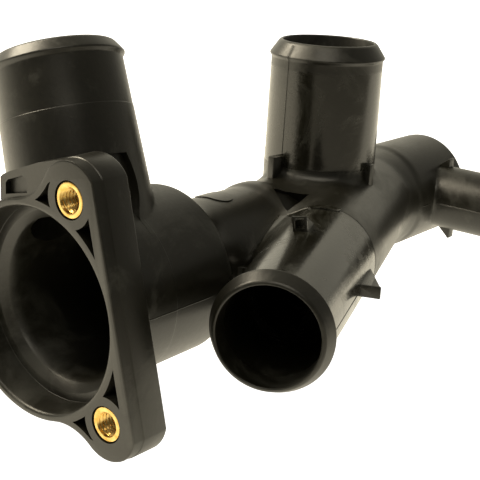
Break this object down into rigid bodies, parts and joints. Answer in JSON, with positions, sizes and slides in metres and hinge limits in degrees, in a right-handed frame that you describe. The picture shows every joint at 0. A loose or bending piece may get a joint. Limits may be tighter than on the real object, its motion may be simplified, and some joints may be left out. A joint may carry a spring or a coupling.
{
  "type": "thermostat housing",
  "caption": "Moulded coolant housing with a bolt flange, a seat bore, a long closed tube and beaded hose necks.",
  "frame": {"origin": "centre of the seat bore on the flange's front face", "axes": "+Y into the housing along the chamber and the long tube; +Z along the middle neck towards its mouth; +X along the side neck towards its mouth"},
  "size_m": [0.1034, 0.1876, 0.0931],
  "materials": {
    "black_nylon": "satin glass-filled nylon, as moulded",
    "brass": "machined"
  },
  "bodies": {
    "root": {"housing_body": "black_nylon", "insert_upper": "brass", "insert_left": "brass", "insert_lower": "brass"}
  },
  "joints": []
}
